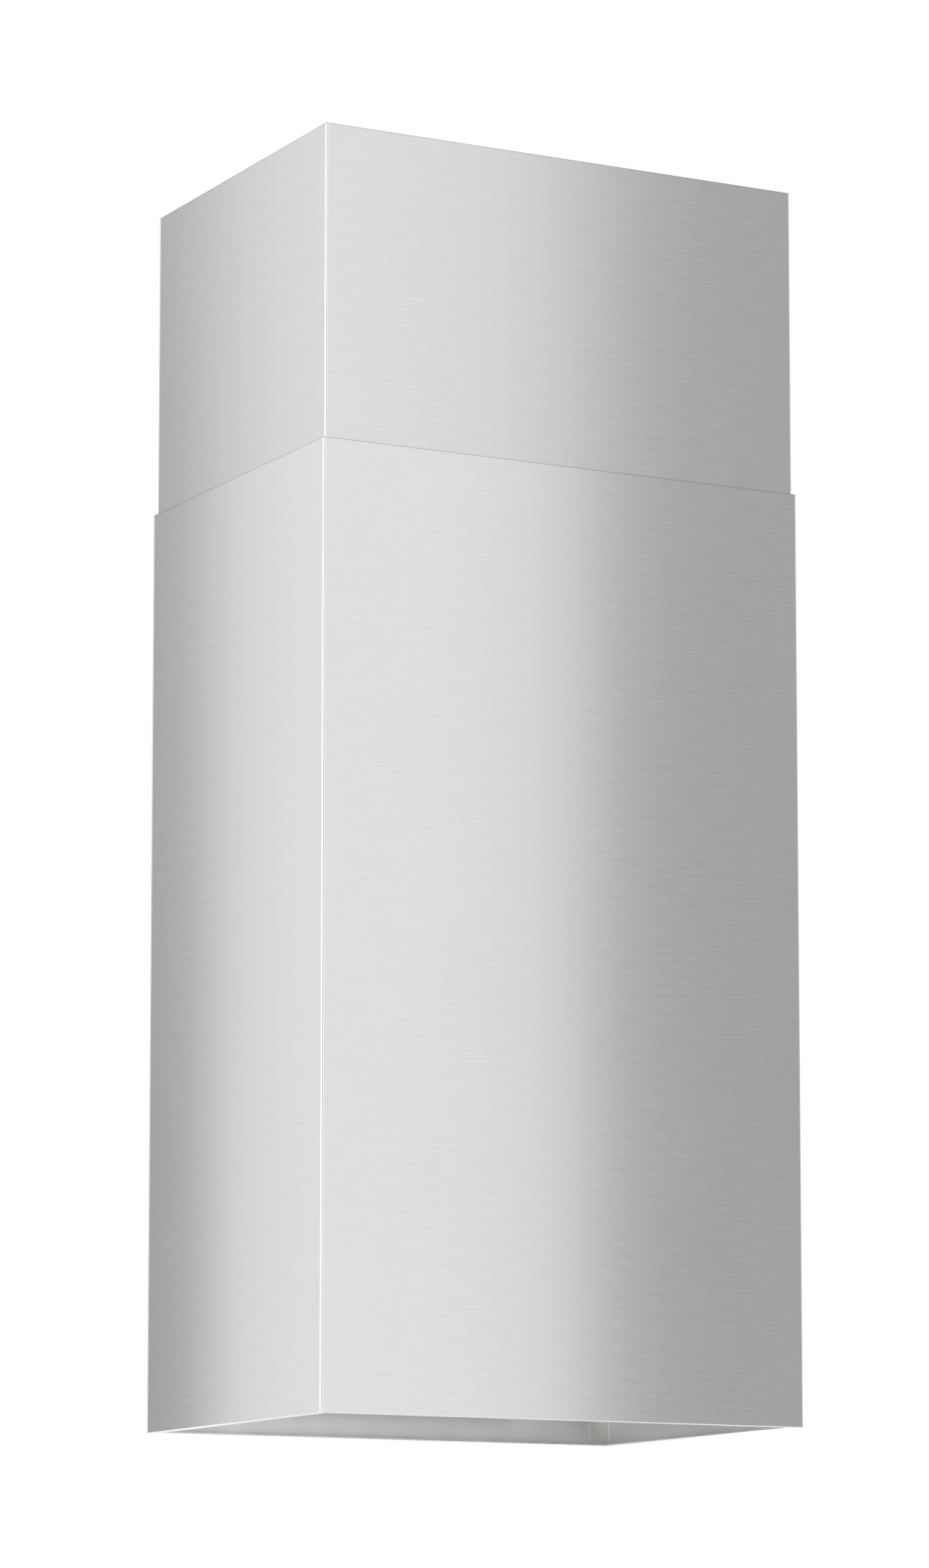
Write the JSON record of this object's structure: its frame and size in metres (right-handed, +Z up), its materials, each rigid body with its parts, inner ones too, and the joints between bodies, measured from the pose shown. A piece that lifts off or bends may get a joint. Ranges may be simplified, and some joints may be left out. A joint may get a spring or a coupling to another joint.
{
  "type": "island range hood",
  "caption": "Straight-column island range hood: two nested brushed steel covers over a telescopic ceiling frame, round duct, blower, filter, lamps and buttons.",
  "frame": {"origin": "centre of the ceiling plate's top face, which bolts against the ceiling", "axes": "+Z up, -Y the front wide face, +X to the right when facing the front; the hood hangs towards -Z"},
  "size_m": [0.34, 0.25, 0.8],
  "materials": {
    "brushed_stainless": "brushed across, satin",
    "galvanised_steel": "hot-dip galvanised, fine spangle",
    "duct_aluminium": "mill finish",
    "zinc_fasteners": "zinc plated",
    "bright_steel": "bright drawn",
    "motor_enamel": "semi-gloss enamel",
    "damper_paint": "thin satin sheet",
    "black_rubber": "moulded",
    "black_plastic": "fine texture",
    "pale_plastic": "moulded",
    "button_plastic": "satin metallic",
    "board_green": "lacquered board",
    "lamp_glass": "frosted"
  },
  "bodies": {
    "ceiling_frame": {"ceiling_plate": "galvanised_steel", "upper_post_front_left": "galvanised_steel", "upper_post_front_right": "galvanised_steel", "upper_post_rear_left": "galvanised_steel", "upper_post_rear_right": "galvanised_steel", "upper_frame_ring": "galvanised_steel", "upper_frame_screws": "zinc_fasteners", "duct_socket": "duct_aluminium", "upper_duct": "duct_aluminium", "cover_spring_clips": "bright_steel", "cable_grommet": "black_rubber"},
    "upper_cover": {"upper_cover_shell": "brushed_stainless", "upper_cover_rear_panel": "brushed_stainless", "upper_cover_rivets": "brushed_stainless"},
    "hood_body": {"lower_cover_shell": "brushed_stainless", "lower_cover_rear_panel": "brushed_stainless", "lower_cover_rivets": "brushed_stainless", "cover_rails": "brushed_stainless", "lower_post_front_left": "galvanised_steel", "lower_post_front_right": "galvanised_steel", "lower_post_rear_left": "galvanised_steel", "lower_post_rear_right": "galvanised_steel", "lower_frame_ring": "galvanised_steel", "height_bolts": "zinc_fasteners", "height_nuts": "zinc_fasteners", "blower_box": "galvanised_steel", "hood_screws": "zinc_fasteners", "underside_tray": "brushed_stainless", "scroll_wrap": "galvanised_steel", "scroll_front_plate": "galvanised_steel", "scroll_rear_plate": "galvanised_steel", "motor_can": "motor_enamel", "motor_bracket": "galvanised_steel", "motor_bushes": "black_rubber", "outlet_collar": "duct_aluminium", "damper_pin": "bright_steel", "lower_duct": "duct_aluminium", "duct_clamp": "duct_aluminium", "junction_box": "pale_plastic", "cable_gland": "black_rubber", "lamp_driver": "pale_plastic", "capacitor": "duct_aluminium", "control_panel": "black_plastic", "control_housing": "black_plastic", "control_board": "board_green", "lamp_bezels": "brushed_stainless", "lamp_lenses": "lamp_glass", "lamp_housings": "duct_aluminium", "filter_magnets": "bright_steel"},
    "fan": {"fan_wheel": "galvanised_steel", "motor_shaft": "bright_steel"},
    "filter": {"filter_frame": "brushed_stainless", "filter_baffles": "brushed_stainless"},
    "filter_handle": {"filter_bail": "bright_steel"},
    "light_button": {"button_light": "button_plastic"},
    "power_button": {"button_power": "button_plastic"},
    "slower_button": {"button_slower": "button_plastic"},
    "faster_button": {"button_faster": "button_plastic"},
    "left_damper": {"damper_flap_left": "damper_paint"},
    "right_damper": {"damper_flap_right": "damper_paint"}
  },
  "joints": [
    {"name": "height_slide", "type": "slide", "parent": "ceiling_frame", "child": "hood_body", "axis": [0, 0, 1], "range_m": [-0.1, 0.15]},
    {"name": "upper_cover_slide", "type": "slide", "parent": "ceiling_frame", "child": "upper_cover", "axis": [0, 0, 1], "range_m": [-0.15, 0]},
    {"name": "fan_spin", "type": "hinge", "parent": "hood_body", "child": "fan", "pos_m": [-0.05, 0, -0.655], "axis": [0, 1, 0], "continuous": true},
    {"name": "left_damper_swing", "type": "hinge", "parent": "hood_body", "child": "left_damper", "pos_m": [0, 0, -0.515], "axis": [0, 1, 0], "range_deg": [0, 75]},
    {"name": "right_damper_swing", "type": "hinge", "parent": "hood_body", "child": "right_damper", "pos_m": [0, 0, -0.515], "axis": [0, -1, 0], "range_deg": [0, 75]},
    {"name": "filter_swing", "type": "hinge", "parent": "hood_body", "child": "filter", "pos_m": [0, 0.1035, -0.778], "axis": [1, 0, 0], "range_deg": [0, 80]},
    {"name": "handle_swing", "type": "hinge", "parent": "filter", "child": "filter_handle", "pos_m": [0, -0.081, -0.7864], "axis": [-1, 0, 0], "range_deg": [0, 90]},
    {"name": "light_button_press", "type": "slide", "parent": "hood_body", "child": "light_button", "axis": [0, 0, 1], "range_m": [0, 0.0015], "stiffness_N_per_m": 300},
    {"name": "power_button_press", "type": "slide", "parent": "hood_body", "child": "power_button", "axis": [0, 0, 1], "range_m": [0, 0.0015], "stiffness_N_per_m": 300},
    {"name": "slower_button_press", "type": "slide", "parent": "hood_body", "child": "slower_button", "axis": [0, 0, 1], "range_m": [0, 0.0015], "stiffness_N_per_m": 300},
    {"name": "faster_button_press", "type": "slide", "parent": "hood_body", "child": "faster_button", "axis": [0, 0, 1], "range_m": [0, 0.0015], "stiffness_N_per_m": 300}
  ]
}
